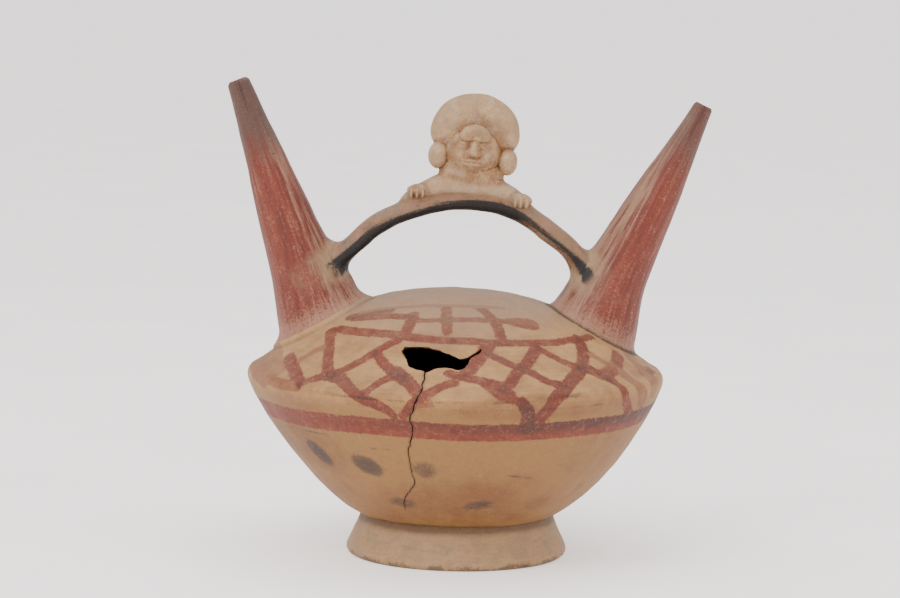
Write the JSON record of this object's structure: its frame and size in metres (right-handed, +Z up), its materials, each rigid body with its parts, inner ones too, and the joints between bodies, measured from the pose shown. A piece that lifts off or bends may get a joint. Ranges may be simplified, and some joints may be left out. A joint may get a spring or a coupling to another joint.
{
  "type": "double spout vessel",
  "caption": "Keeled earthenware vessel on a ring foot, with two slanting spouts joined by an arched bridge that carries a small bust; painted, with a broken shoulder.",
  "frame": {"origin": "on the ground under the middle of the whole piece, spout tip to spout tip", "axes": "+Z up, +X from the taller spout to the lower one, -Y out of the painted front with the broken shoulder"},
  "size_m": [0.2386, 0.2066, 0.2349],
  "materials": {
    "painted_earthenware": "burnished cream and brick-red slip over buff earthenware, worn and dusty"
  },
  "bodies": {
    "root": {"vessel": "painted_earthenware"}
  },
  "joints": []
}
